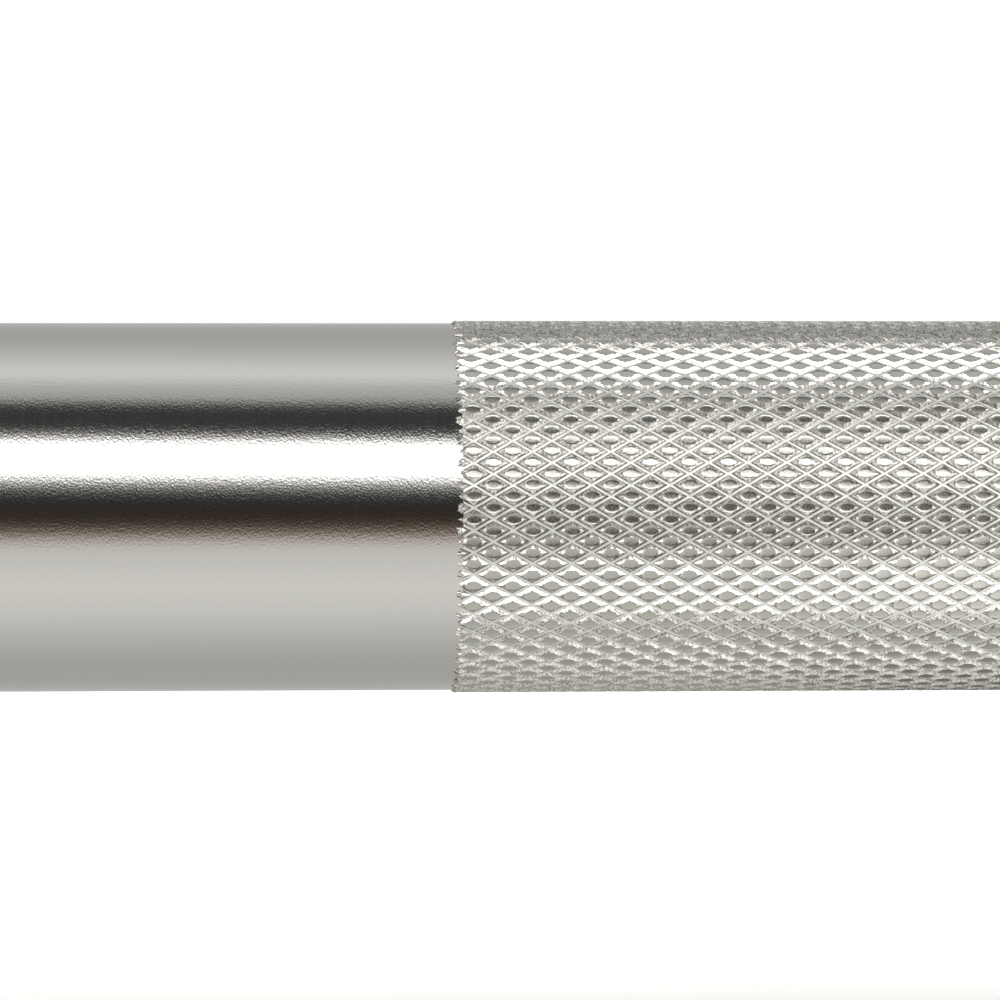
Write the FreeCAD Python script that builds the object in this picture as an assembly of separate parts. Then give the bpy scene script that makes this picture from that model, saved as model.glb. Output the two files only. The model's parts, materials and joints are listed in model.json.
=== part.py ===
"""Olympic barbell: a knurled steel shaft that carries a free-turning sleeve at each end.

Units are millimetres. X runs along the bar, Z is up and the origin is the middle of the shaft's axis.
Each sleeve turns on a flanged bronze bushing beside its collar and on a caged needle bearing at each end.
The right end is modelled and the left end is its mirror image.
"""

import FreeCAD
import Part
import math
import os

# Overall layout of the bar
GRIP_SPAN = 1310.0  # between the grip faces of the two inner collars
COLLAR_WIDTH = 30.0
SLEEVE_LENGTH = 415.0  # the stretch outside the collar that takes the plates

# Shaft
SHAFT_DIAMETER = 28.0
SHAFT_REACH = 12.0  # how far the full diameter runs into the collar
SHOULDER_HEIGHT = 1.5  # from the journal up to the full diameter
SHAFT_END_CHAMFER = 1.5
CENTRE_HOLE_DIAMETER = 6.0
CENTRE_HOLE_ANGLE = 60.0  # included angle of the lathe centre's cone, in degrees

# Knurled bands, as the envelope that their crests reach
KNURL_HEIGHT = 0.18  # crests above the smooth shaft
CENTRE_KNURL_LENGTH = 120.0
GRIP_KNURL_START = 210.0  # from the middle of the bar
KNURL_TO_COLLAR = 5.0  # smooth stretch beside the collar
RING_MARK_TO_COLLAR = 195.0
RING_MARK_WIDTH = 5.0

# Inner collar
COLLAR_HUB_WALL = 5.0  # radial, outside the sleeve's spigot
COLLAR_HUB_EDGE_RADIUS = 3.0
FLANGE_HEIGHT = 10.0  # radial, outside the hub
FLANGE_WIDTH = 14.0
FLANGE_EDGE_RADIUS = 2.5
COLLAR_NECK_RADIUS = 2.0  # where the hub meets the flange
COLLAR_LIP = 8.0  # wall between the sleeve tube's end and the grip face
LIP_CLEARANCE = 0.6  # radial, between the lip and the shaft
COLLAR_BORE_CHAMFER = 0.5

# Dust seal in the collar's lip
SEAL_WIDTH = 3.5
SEAL_SECTION = 2.9  # radial
SEAL_LIP_WIDTH = 1.0
SEAL_LIP_HEIGHT = 0.45
SEAL_INSET = 2.2  # from the grip face to the seal's groove

# Sleeve tube
SLEEVE_DIAMETER = 50.0
SPIGOT_DEPTH = 1.0  # radial step down to where the collar is pressed on
SLEEVE_RELIEF = 2.5  # spigot left bare beside the collar, so that a plate seats flat
SLEEVE_BORE_CLEARANCE = 1.0  # radial, round the journal between the bearings
SLEEVE_END_CHAMFER = 2.0
SLEEVE_MOUTH_CHAMFER = 0.6
SLEEVE_END_FACE = 0.3  # least share of the end wall that the chamfer leaves flat

# Clearances shared by the pieces
RUNNING_CLEARANCE = 0.03  # radial, between the bushing and the journal
ROLLING_CLEARANCE = 0.02  # radial, on each side of a needle
CAGE_CLEARANCE = 0.05  # round a needle in its pocket
SEAT_CLEARANCE = 0.05  # between a loose piece and its seat
THRUST_PLAY = 0.1  # axial, at each face of a thrust washer
WASHER_CLEARANCE = 0.1  # radial, round the journal

# Bronze bushing beside the collar
BUSHING_LENGTH = 30.0
BUSHING_FLANGE_HEIGHT = 2.5  # radial, outside the barrel
BUSHING_FLANGE = 3.0
BUSHING_CHAMFER = 0.8

# Drawn-cup needle bearings
NEEDLE_DIAMETER = 2.5
NEEDLE_LENGTH = 16.0
NEEDLE_COUNT = 16
CUP_WALL = 0.96
CUP_LIP = 0.9
CUP_LIP_DROP = 1.1  # how far the lip stands inside the race
CAGE_WALL = 1.3
CAGE_RIM = 0.85  # solid ring past the windows
CAGE_END_PLAY = 0.2  # axial, between the cage and the cup's lip
BUSHING_TO_BEARING = 1.0
OUTER_BEARING_INSET = 3.0  # from the sleeve's thrust face

# Thrust washers
INNER_WASHER = 1.8
BRONZE_WASHER = 2.0
STEEL_WASHER = 1.5
WASHER_EDGE = 0.2  # broken edges
THRUST_STEP = 2.0  # radial, from the bearing pocket to the counterbore round the outer washers

# Retaining ring on the shaft
SHAFT_RING = 1.2
SHAFT_RING_GROOVE_DEPTH = 0.55
SHAFT_RING_SECTION = 3.4  # radial, opposite the gap
SHAFT_RING_THIN = 2.0  # radial, beside the gap
SHAFT_END_LAND = 4.0  # journal left outside the groove

# End cap, its seal and its retaining ring
CAP_SEAT_STEP = 0.8  # radial, from that counterbore to the cap's bore
CAP_THICKNESS = 9.0
CAP_TO_SHAFT = 4.0  # gap between the shaft's end and the cap
CAP_RIM = 3.5  # land round the cap's dished face
CAP_DISH_DEPTH = 1.0
CAP_POCKET_DIAMETER = 28.0
CAP_POCKET_DEPTH = 4.0
CAP_EDGE_CHAMFER = 0.5
O_RING_SECTION = 1.8
O_RING_GROOVE_WIDTH = 2.4
CAP_RING = 1.75
CAP_RING_GROOVE_DEPTH = 1.0
CAP_RING_SECTION = 3.6
CAP_RING_THIN = 2.4
CAP_RING_LAND = 3.5  # sleeve left outside the groove

# Ears of both retaining rings
RING_GAP_ANGLE = 46.0
EAR_DIAMETER = 4.2
EAR_HOLE_DIAMETER = 1.9

# Radii that follow from the sizes above
shaft_r = SHAFT_DIAMETER / 2
knurl_r = shaft_r + KNURL_HEIGHT
journal_r = shaft_r - SHOULDER_HEIGHT
needle_ring_r = journal_r + ROLLING_CLEARANCE + NEEDLE_DIAMETER / 2
race_r = needle_ring_r + NEEDLE_DIAMETER / 2 + ROLLING_CLEARANCE
pocket_r = race_r + CUP_WALL
sleeve_bore_r = journal_r + SLEEVE_BORE_CLEARANCE
sleeve_r = SLEEVE_DIAMETER / 2
spigot_r = sleeve_r - SPIGOT_DEPTH
hub_r = spigot_r + COLLAR_HUB_WALL
flange_r = hub_r + FLANGE_HEIGHT
washer_bore_r = journal_r + WASHER_CLEARANCE
bushing_flange_r = pocket_r + BUSHING_FLANGE_HEIGHT
flange_seat_r = bushing_flange_r + SEAT_CLEARANCE
thrust_bore_r = pocket_r + THRUST_STEP
cap_bore_r = thrust_bore_r + CAP_SEAT_STEP
shaft_ring_groove_r = journal_r - SHAFT_RING_GROOVE_DEPTH
cap_ring_groove_r = cap_bore_r + CAP_RING_GROOVE_DEPTH

# Lengths that follow from the sizes above
cage_length = NEEDLE_LENGTH + 2 * (CAGE_CLEARANCE + CAGE_RIM)
cup_length = cage_length + 2 * (CAGE_END_PLAY + CUP_LIP)
end_wall = sleeve_r - cap_bore_r - SLEEVE_MOUTH_CHAMFER
sleeve_end_chamfer = min(SLEEVE_END_CHAMFER, (1 - SLEEVE_END_FACE) * end_wall)

# Stations along X on the right end, counted from the collar outwards
collar_x = GRIP_SPAN / 2
tube_x = collar_x + COLLAR_LIP
plate_face_x = collar_x + COLLAR_WIDTH
sleeve_end_x = plate_face_x + SLEEVE_LENGTH
shoulder_x = collar_x + SHAFT_REACH
inner_washer_x = shoulder_x + THRUST_PLAY
bushing_x = inner_washer_x + INNER_WASHER + THRUST_PLAY
bushing_seat_x = bushing_x + BUSHING_FLANGE
inner_bearing_x = bushing_seat_x + BUSHING_LENGTH + BUSHING_TO_BEARING
inner_pocket_end_x = inner_bearing_x + cup_length

# Stations that are counted from the sleeve's open end inwards
cap_ring_groove_x = sleeve_end_x - CAP_RING_LAND - CAP_RING - 2 * SEAT_CLEARANCE
cap_seat_x = cap_ring_groove_x - CAP_THICKNESS
shaft_end_x = cap_seat_x - CAP_TO_SHAFT
shaft_ring_groove_x = shaft_end_x - SHAFT_END_LAND - SHAFT_RING - 2 * SEAT_CLEARANCE
steel_washer_x = shaft_ring_groove_x - STEEL_WASHER
bronze_washer_x = steel_washer_x - THRUST_PLAY - BRONZE_WASHER
thrust_face_x = bronze_washer_x - THRUST_PLAY
outer_bearing_x = thrust_face_x - OUTER_BEARING_INSET - cup_length

ORIGIN = FreeCAD.Vector(0, 0, 0)
BAR_AXIS = FreeCAD.Vector(1, 0, 0)


def at(x, r):
    """A point of a turned profile: x along the bar, r from its axis."""
    return FreeCAD.Vector(x, 0, r)


def corner(before, point, after, radius):
    """The two tangent points and the middle of an arc that rounds a profile's corner."""
    back = (before - point).normalize()
    ahead = (after - point).normalize()
    half = back.getAngle(ahead) / 2
    run = radius / math.tan(half)
    inward = (back + ahead).normalize()
    middle = point + inward * (radius / math.sin(half) - radius)
    return point + back * run, middle, point + ahead * run


def turned(profile):
    """A solid of revolution about the bar's axis. Each item is (x, r) or (x, r, corner radius)."""
    points = [at(item[0], item[1]) for item in profile]
    starts, ends, edges = [], [], []
    for i, item in enumerate(profile):
        if len(item) == 3:
            following = points[(i + 1) % len(points)]
            first, middle, last = corner(points[i - 1], points[i], following, item[2])
            edges.append(Part.Arc(first, middle, last).toShape())
        else:
            first = last = points[i]
        starts.append(first)
        ends.append(last)
    for i, end in enumerate(ends):
        edges.append(Part.LineSegment(end, starts[(i + 1) % len(starts)]).toShape())
    face = Part.Face(Part.Wire(Part.__sortEdges__(edges)))
    return face.revolve(ORIGIN, BAR_AXIS, 360).Solids[0]


def ring(x, length, inner, outer):
    """A plain turned ring."""
    return turned([(x, inner), (x + length, inner), (x + length, outer), (x, outer)])


def washer(x, thickness, outer):
    """A thrust washer round the journal, with its edges broken."""
    end = x + thickness
    edge = WASHER_EDGE
    return turned([
        (x, washer_bore_r + edge),
        (x + edge, washer_bore_r),
        (end - edge, washer_bore_r),
        (end, washer_bore_r + edge),
        (end, outer - edge),
        (end - edge, outer),
        (x + edge, outer),
        (x, outer - edge),
    ])


def round_bar(x, length, radius, y=0.0, z=0.0):
    """A cylinder along X whose axis passes through (y, z)."""
    return Part.makeCylinder(radius, length, FreeCAD.Vector(x, y, z), BAR_AXIS)


def shaft_half():
    """Profile points of the shaft's right half, from its middle to its end."""
    centre_end = CENTRE_KNURL_LENGTH / 2
    mark_outer = collar_x - RING_MARK_TO_COLLAR
    mark_inner = mark_outer - RING_MARK_WIDTH
    grip_end = collar_x - KNURL_TO_COLLAR
    points = [(centre_end - KNURL_HEIGHT, knurl_r), (centre_end, shaft_r)]
    for start, end in ((GRIP_KNURL_START, mark_inner), (mark_outer, grip_end)):
        points.append((start, shaft_r))
        points.append((start + KNURL_HEIGHT, knurl_r))
        points.append((end - KNURL_HEIGHT, knurl_r))
        points.append((end, shaft_r))
    groove_end = shaft_ring_groove_x + SHAFT_RING + 2 * SEAT_CLEARANCE
    hole_r = CENTRE_HOLE_DIAMETER / 2
    hole_depth = hole_r / math.tan(math.radians(CENTRE_HOLE_ANGLE / 2))
    points += [
        (shoulder_x, shaft_r),
        (shoulder_x, journal_r),
        (shaft_ring_groove_x, journal_r),
        (shaft_ring_groove_x, shaft_ring_groove_r),
        (groove_end, shaft_ring_groove_r),
        (groove_end, journal_r),
        (shaft_end_x - SHAFT_END_CHAMFER, journal_r),
        (shaft_end_x, journal_r - SHAFT_END_CHAMFER),
        (shaft_end_x, hole_r),
        (shaft_end_x - hole_depth, 0.0),
    ]
    return points


def make_shaft():
    """One steel bar: knurled bands, journals, ring grooves and the lathe's centre holes."""
    right = shaft_half()
    left = [(-x, r) for x, r in reversed(right)]
    return turned(left + right)


def make_collar():
    """Stop for the plates: a flange on a hub, pressed on the sleeve tube, with a lip that holds the seal."""
    bore = shaft_r + LIP_CLEARANCE
    groove_r = shaft_r + SEAT_CLEARANCE + SEAL_SECTION + SEAT_CLEARANCE
    groove_start = collar_x + SEAL_INSET
    groove_end = groove_start + SEAL_WIDTH + 2 * SEAT_CLEARANCE
    flange_x = plate_face_x - FLANGE_WIDTH
    return turned([
        (collar_x, bore),
        (groove_start, bore),
        (groove_start, groove_r),
        (groove_end, groove_r),
        (groove_end, bore),
        (tube_x, bore),
        (tube_x, spigot_r),
        (plate_face_x - COLLAR_BORE_CHAMFER, spigot_r),
        (plate_face_x, spigot_r + COLLAR_BORE_CHAMFER),
        (plate_face_x, flange_r, FLANGE_EDGE_RADIUS),
        (flange_x, flange_r, FLANGE_EDGE_RADIUS),
        (flange_x, hub_r, COLLAR_NECK_RADIUS),
        (collar_x, hub_r, COLLAR_HUB_EDGE_RADIUS),
    ])


def make_dust_seal():
    """Rubber ring in the collar's lip, with one lip that wipes the shaft."""
    start = collar_x + SEAL_INSET + SEAT_CLEARANCE
    end = start + SEAL_WIDTH
    lip_r = shaft_r + SEAT_CLEARANCE
    body_r = lip_r + SEAL_LIP_HEIGHT
    outer = lip_r + SEAL_SECTION
    return turned([
        (start, lip_r),
        (start + SEAL_LIP_WIDTH, lip_r),
        (start + SEAL_LIP_WIDTH + SEAL_LIP_HEIGHT, body_r),
        (end, body_r),
        (end, outer),
        (start, outer),
    ])


def make_sleeve():
    """Tube that takes the plates, with a bearing pocket at each end and a seat for the end cap."""
    full_diameter_x = plate_face_x + SLEEVE_RELIEF
    ring_groove_end = sleeve_end_x - CAP_RING_LAND
    mouth = SLEEVE_MOUTH_CHAMFER
    return turned([
        (tube_x, flange_seat_r),
        (bushing_seat_x, flange_seat_r),
        (bushing_seat_x, pocket_r),
        (inner_pocket_end_x, pocket_r),
        (inner_pocket_end_x, sleeve_bore_r),
        (outer_bearing_x, sleeve_bore_r),
        (outer_bearing_x, pocket_r),
        (thrust_face_x, pocket_r),
        (thrust_face_x, thrust_bore_r),
        (cap_seat_x, thrust_bore_r),
        (cap_seat_x, cap_bore_r),
        (cap_ring_groove_x, cap_bore_r),
        (cap_ring_groove_x, cap_ring_groove_r),
        (ring_groove_end, cap_ring_groove_r),
        (ring_groove_end, cap_bore_r),
        (sleeve_end_x - mouth, cap_bore_r),
        (sleeve_end_x, cap_bore_r + mouth),
        (sleeve_end_x, sleeve_r - sleeve_end_chamfer),
        (sleeve_end_x - sleeve_end_chamfer, sleeve_r),
        (full_diameter_x, sleeve_r),
        (full_diameter_x, spigot_r),
        (tube_x, spigot_r),
    ])


def make_bushing():
    """Flanged bronze bushing, pressed in the tube, whose flange takes the inward thrust."""
    bore = journal_r + RUNNING_CLEARANCE
    end = bushing_seat_x + BUSHING_LENGTH
    return turned([
        (bushing_x, bore + BUSHING_CHAMFER),
        (bushing_x + BUSHING_CHAMFER, bore),
        (end, bore),
        (end, pocket_r - BUSHING_CHAMFER),
        (end - BUSHING_CHAMFER, pocket_r),
        (bushing_seat_x, pocket_r),
        (bushing_seat_x, bushing_flange_r),
        (bushing_x, bushing_flange_r),
    ])


def make_bearing_cup(start):
    """Drawn outer cup of a needle bearing, with a lip at each end that keeps the cage in."""
    end = start + cup_length
    lip_r = race_r - CUP_LIP_DROP
    return turned([
        (start, lip_r),
        (start + CUP_LIP, lip_r),
        (start + CUP_LIP, race_r),
        (end - CUP_LIP, race_r),
        (end - CUP_LIP, lip_r),
        (end, lip_r),
        (end, pocket_r),
        (start, pocket_r),
    ])


def needle_places():
    """(y, z, angle in degrees) of each needle's axis round the journal."""
    places = []
    for i in range(NEEDLE_COUNT):
        angle = 2 * math.pi * i / NEEDLE_COUNT
        y = -needle_ring_r * math.sin(angle)
        z = needle_ring_r * math.cos(angle)
        places.append((y, z, math.degrees(angle)))
    return places


def make_needles(start):
    """The rollers of one bearing, as a group of separate solids."""
    x = start + (cup_length - NEEDLE_LENGTH) / 2
    rollers = [round_bar(x, NEEDLE_LENGTH, NEEDLE_DIAMETER / 2, y, z) for y, z, _ in needle_places()]
    return Part.makeCompound(rollers)


def make_cage(start):
    """Thin cage with one window for each needle, which it carries round at their pitch circle."""
    x = start + CUP_LIP + CAGE_END_PLAY
    inner = needle_ring_r - CAGE_WALL / 2
    body = ring(x, cage_length, inner, inner + CAGE_WALL)
    window_length = NEEDLE_LENGTH + 2 * CAGE_CLEARANCE
    window_width = NEEDLE_DIAMETER + 2 * CAGE_CLEARANCE
    window_x = x + CAGE_RIM
    corner_point = FreeCAD.Vector(window_x, -window_width / 2, inner - CAGE_WALL)
    window = Part.makeBox(window_length, window_width, 3 * CAGE_WALL, corner_point)
    windows = []
    for _, _, angle in needle_places():
        windows.append(window.rotated(ORIGIN, BAR_AXIS, angle))
    return body.cut(Part.makeCompound(windows)).Solids[0]


def ring_ears(x, thickness, circle_r):
    """The two eared ends beside a retaining ring's gap: (ears, plier holes)."""
    ears, holes = [], []
    swing = math.asin(EAR_DIAMETER / 2 / circle_r)
    for side in (-1, 1):
        angle = side * (math.radians(RING_GAP_ANGLE / 2) + swing)
        y = circle_r * math.sin(angle)
        z = circle_r * math.cos(angle)
        ears.append(round_bar(x, thickness, EAR_DIAMETER / 2, y, z))
        holes.append(round_bar(x, thickness, EAR_HOLE_DIAMETER / 2, y, z))
    return ears, holes


def gap_wedge(x, thickness, reach):
    """The wedge that opens a retaining ring at its top."""
    half = math.radians(RING_GAP_ANGLE / 2)
    left = FreeCAD.Vector(x, -reach * math.sin(half), reach * math.cos(half))
    right = FreeCAD.Vector(x, reach * math.sin(half), reach * math.cos(half))
    outline = Part.makePolygon([FreeCAD.Vector(x, 0, 0), left, right, FreeCAD.Vector(x, 0, 0)])
    return Part.Face(outline).extrude(FreeCAD.Vector(thickness, 0, 0))


def make_shaft_ring():
    """External retaining ring: round inside, eccentric outside, open at the top between its ears."""
    x = shaft_ring_groove_x + SEAT_CLEARANCE
    inner = shaft_ring_groove_r + SEAT_CLEARANCE
    outer = inner + (SHAFT_RING_SECTION + SHAFT_RING_THIN) / 2
    offset = (SHAFT_RING_SECTION - SHAFT_RING_THIN) / 2
    body = round_bar(x, SHAFT_RING, outer, 0.0, -offset)
    ear_circle = journal_r + SEAT_CLEARANCE + EAR_DIAMETER / 2
    ears, holes = ring_ears(x, SHAFT_RING, ear_circle)
    bore = round_bar(x, SHAFT_RING, inner)
    opened = body.cut(gap_wedge(x, SHAFT_RING, 2 * outer))
    return opened.fuse(ears).cut([bore] + holes).removeSplitter().Solids[0]


def make_cap_ring():
    """Internal retaining ring: round outside, eccentric inside, with its ears towards the axis."""
    x = cap_ring_groove_x + SEAT_CLEARANCE
    outer = cap_ring_groove_r - SEAT_CLEARANCE
    inner = outer - (CAP_RING_SECTION + CAP_RING_THIN) / 2
    offset = (CAP_RING_SECTION - CAP_RING_THIN) / 2
    body = round_bar(x, CAP_RING, outer).cut(round_bar(x, CAP_RING, inner, 0.0, offset))
    ear_circle = cap_bore_r - SEAT_CLEARANCE - EAR_DIAMETER / 2
    ears, holes = ring_ears(x, CAP_RING, ear_circle)
    opened = body.cut(gap_wedge(x, CAP_RING, 2 * outer))
    return opened.fuse(ears).cut(holes).removeSplitter().Solids[0]


def make_end_cap():
    """Plain turned cap with a dished face, a groove for its seal and a pocket at the back."""
    outer = cap_bore_r - SEAT_CLEARANCE
    face_x = cap_ring_groove_x
    groove_r = outer - O_RING_SECTION - SEAT_CLEARANCE
    groove_start = cap_seat_x + (CAP_THICKNESS - O_RING_GROOVE_WIDTH) / 2
    groove_end = groove_start + O_RING_GROOVE_WIDTH
    dish_r = outer - CAP_RIM
    hollow_r = CAP_POCKET_DIAMETER / 2
    edge = CAP_EDGE_CHAMFER
    return turned([
        (cap_seat_x + CAP_POCKET_DEPTH, 0.0),
        (cap_seat_x + CAP_POCKET_DEPTH, hollow_r),
        (cap_seat_x, hollow_r),
        (cap_seat_x, outer - edge),
        (cap_seat_x + edge, outer),
        (groove_start, outer),
        (groove_start, groove_r),
        (groove_end, groove_r),
        (groove_end, outer),
        (face_x - edge, outer),
        (face_x, outer - edge),
        (face_x, dish_r),
        (face_x - CAP_DISH_DEPTH, dish_r - CAP_DISH_DEPTH),
        (face_x - CAP_DISH_DEPTH, 0.0),
    ])


def make_o_ring():
    """Rubber ring in the end cap's groove."""
    circle_r = cap_bore_r - SEAT_CLEARANCE - O_RING_SECTION / 2
    middle = FreeCAD.Vector(cap_seat_x + CAP_THICKNESS / 2, 0, 0)
    return Part.makeTorus(circle_r, O_RING_SECTION / 2, middle, BAR_AXIS)


def right_end():
    """Every piece of the right end, by name."""
    thrust_washer_outer = thrust_bore_r - WASHER_CLEARANCE
    pieces = {
        "inner_collar": make_collar(),
        "dust_seal": make_dust_seal(),
        "sleeve": make_sleeve(),
        "inner_thrust_washer": washer(inner_washer_x, INNER_WASHER, bushing_flange_r),
        "flanged_bushing": make_bushing(),
        "bronze_thrust_washer": washer(bronze_washer_x, BRONZE_WASHER, thrust_washer_outer),
        "steel_thrust_washer": washer(steel_washer_x, STEEL_WASHER, thrust_washer_outer),
        "shaft_retaining_ring": make_shaft_ring(),
        "end_cap": make_end_cap(),
        "end_cap_o_ring": make_o_ring(),
        "cap_retaining_ring": make_cap_ring(),
    }
    for place, start in (("inner", inner_bearing_x), ("outer", outer_bearing_x)):
        pieces[f"{place}_bearing_cup"] = make_bearing_cup(start)
        pieces[f"{place}_bearing_cage"] = make_cage(start)
        pieces[f"{place}_bearing_needles"] = make_needles(start)
    return pieces


def main():
    os.makedirs("parts", exist_ok=True)
    nodes = {"shaft": make_shaft()}
    for name, shape in right_end().items():
        nodes[f"right_{name}"] = shape
        nodes[f"left_{name}"] = shape.mirror(ORIGIN, BAR_AXIS)
    for name, shape in nodes.items():
        shape.exportStep(f"parts/{name}.step")
    print(f"{len(nodes)} nodes, overall length {2 * sleeve_end_x:.1f} mm")


main()
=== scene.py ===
"""Olympic barbell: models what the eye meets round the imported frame.

The shaft is ground bar with cut diamond knurling. A turned collar and a plain sleeve turn on each end of it.
Lengths are metres, X runs along the bar, Z is up and the bar's axis is the X axis.
"""

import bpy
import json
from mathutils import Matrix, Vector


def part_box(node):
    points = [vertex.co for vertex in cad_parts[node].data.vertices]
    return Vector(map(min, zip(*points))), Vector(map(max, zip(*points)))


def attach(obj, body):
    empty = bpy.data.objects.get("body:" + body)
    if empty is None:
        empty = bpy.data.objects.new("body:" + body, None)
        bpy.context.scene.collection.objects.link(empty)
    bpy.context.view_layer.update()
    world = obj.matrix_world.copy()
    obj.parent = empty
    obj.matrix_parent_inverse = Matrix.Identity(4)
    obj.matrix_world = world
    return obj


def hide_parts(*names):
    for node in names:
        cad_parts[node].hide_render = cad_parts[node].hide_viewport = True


bl_info = {
    "name": "Olympic Barbell",
    "version": (1, 0, 0),
    "blender": (4, 5, 0),
    "location": "View3D > Sidebar > Barbell",
    "description": "Models the knurled shaft, collars, sleeves and end caps of a weightlifting bar",
    "category": "Add Mesh",
}

import json
import math

import bmesh
import bpy
from bpy.props import FloatProperty, FloatVectorProperty, IntProperty, PointerProperty

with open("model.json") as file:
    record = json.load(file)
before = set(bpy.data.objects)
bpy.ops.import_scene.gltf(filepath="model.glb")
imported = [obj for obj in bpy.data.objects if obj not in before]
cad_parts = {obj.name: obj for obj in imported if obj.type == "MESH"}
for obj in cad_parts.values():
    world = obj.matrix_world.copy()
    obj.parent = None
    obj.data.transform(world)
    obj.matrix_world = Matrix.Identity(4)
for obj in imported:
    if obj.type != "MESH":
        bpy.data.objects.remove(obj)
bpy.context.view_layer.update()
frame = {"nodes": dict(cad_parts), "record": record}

MM = 0.001
SIDES = (("right", 1), ("left", -1))
TURN = 2 * math.pi
SAME_PLACE = 1e-6  # points closer than this are at one place
WELD = 0.01 * MM  # corners of neighbouring diamonds closer than this are one
CRISP = math.radians(35)  # turned edges sharper than this stay crisp
NOISE_LOW, NOISE_HIGH = 0.3, 0.7  # most values of a noise lie between these
GROOVE, FLANK, TOP = range(3)  # a diamond's finishes, in the order of its material slots

SMOOTH_RADIUS = 14.0 * MM  # ground shaft between the knurled bands

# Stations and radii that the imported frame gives, on the right end
CREST_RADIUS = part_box("shaft")[1].z
SHAFT_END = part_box("shaft")[1].x
SHAFT_RING = [corner.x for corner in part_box("right_shaft_retaining_ring")]
GRIP_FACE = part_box("right_inner_collar")[0].x
PLATE_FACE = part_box("right_inner_collar")[1].x
FLANGE_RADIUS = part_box("right_inner_collar")[1].z
SEAL = [corner.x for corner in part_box("right_dust_seal")]
SEAL_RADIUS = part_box("right_dust_seal")[1].z
TUBE_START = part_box("right_sleeve")[0].x
SLEEVE_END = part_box("right_sleeve")[1].x
SLEEVE_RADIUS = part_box("right_sleeve")[1].z
BUSHING = [corner.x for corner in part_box("right_flanged_bushing")]
BUSHING_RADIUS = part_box("right_flanged_bushing")[1].z
INNER_CUP = [corner.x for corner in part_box("right_inner_bearing_cup")]
OUTER_CUP = [corner.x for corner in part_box("right_outer_bearing_cup")]
CUP_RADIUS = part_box("right_inner_bearing_cup")[1].z
THRUST_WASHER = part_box("right_bronze_thrust_washer")[0].x
THRUST_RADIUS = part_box("right_bronze_thrust_washer")[1].z
CAP = [corner.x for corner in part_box("right_end_cap")]
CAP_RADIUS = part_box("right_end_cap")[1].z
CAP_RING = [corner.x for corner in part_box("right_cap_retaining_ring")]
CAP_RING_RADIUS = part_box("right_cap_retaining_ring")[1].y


def srgb(code):
    """A hex colour as linear red, green, blue and alpha."""
    values = []
    for start in (0, 2, 4):
        value = int(code[start:start + 2], 16) / 255
        values.append(value / 12.92 if value <= 0.04045 else ((value + 0.055) / 1.055) ** 2.4)
    return (*values, 1.0)


def number(label, about, default, **settings):
    """A number that a user may change."""
    return FloatProperty(name=label, description=about, default=default, **settings)


def length(label, about, default):
    """A length that a user may change."""
    return number(label, about, default, unit="LENGTH", precision=5)


def angle(label, about, degrees):
    """An angle that a user may change."""
    return number(label, about, math.radians(degrees), unit="ROTATION")


def colour(label, about, code):
    """A colour that a user may change, from its sRGB hex code."""
    return FloatVectorProperty(name=label, description=about, default=srgb(code), subtype="COLOR", size=4,
                               min=0.0, max=1.0)


class BarbellShaft(bpy.types.PropertyGroup):
    """Sizes of the ground shaft and where its knurled bands lie."""

    radius: length("Radius", "Ground, smooth stretches", SMOOTH_RADIUS)
    seat_radius: length("Seat radius", "Core under the knurled bands", 13.6 * MM)
    journal_radius: length("Journal radius", "Where the sleeve runs", 12.5 * MM)
    ring_groove_radius: length("Ring groove radius", "Under the retaining ring", 11.95 * MM)
    shoulder: length("Shoulder", "From the bar's middle to the journal's shoulder", GRIP_FACE + 12 * MM)
    end_chamfer: length("End chamfer", "At each end of the bar", 1.5 * MM)
    hole_radius: length("Centre hole radius", "Lathe centre's cone at each end", 3.0 * MM)
    hole_depth: length("Centre hole depth", "Lathe centre's cone at each end", 5.2 * MM)
    hole_tip: length("Centre hole tip", "Radius of the cone's blunt tip", 0.1 * MM)
    tuck: length("Tuck", "How far the smooth shaft runs under a band's cut edge", 0.15 * MM)
    centre_end: length("Centre knurl's end", "From the bar's middle", 60 * MM)
    grip_start: length("Grip's start", "From the bar's middle", 210 * MM)
    mark_start: length("Ring mark's start", "Smooth hand mark, from the bar's middle", 455 * MM)
    mark_end: length("Ring mark's end", "Smooth hand mark, from the bar's middle", 460 * MM)
    grip_end: length("Grip's end", "From the bar's middle", GRIP_FACE - 5 * MM)


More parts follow.
